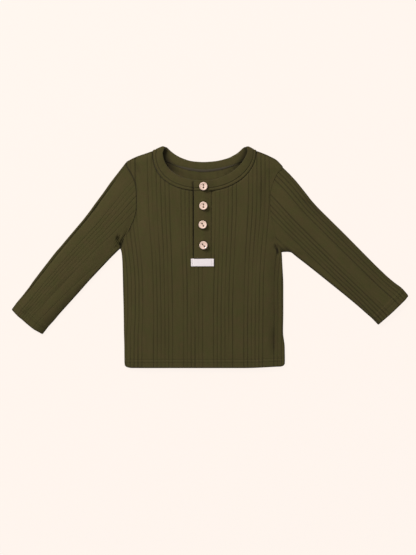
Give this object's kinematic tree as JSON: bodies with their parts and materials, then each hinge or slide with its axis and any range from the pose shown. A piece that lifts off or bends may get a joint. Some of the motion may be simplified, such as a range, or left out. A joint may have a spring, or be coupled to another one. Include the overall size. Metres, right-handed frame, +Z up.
{
  "type": "henley shirt",
  "caption": "Long-sleeved baby henley in variegated rib knit, laid flat and face up, with a bound round neck, a buttoned placket and a blank woven label.",
  "frame": {"origin": "middle of the whole garment's outline, on the surface it lies on", "axes": "+X towards the wearer's left sleeve, +Y from the hem to the neck, +Z up from the surface, out of the front"},
  "size_m": [0.5317, 0.2983, 0.0088],
  "materials": {
    "cloth": "matt olive rib knit with a soft nap",
    "label": "smooth woven tape",
    "button": "pale wood, sealed, low sheen"
  },
  "bodies": {
    "root": {"back_panel": "cloth", "front_panel": "cloth", "right_sleeve": "cloth", "left_sleeve": "cloth", "neckband": "cloth", "under_placket": "cloth", "upper_placket": "cloth", "label": "label", "button_1": "button", "button_2": "button", "button_3": "button", "button_4": "button"}
  },
  "joints": []
}
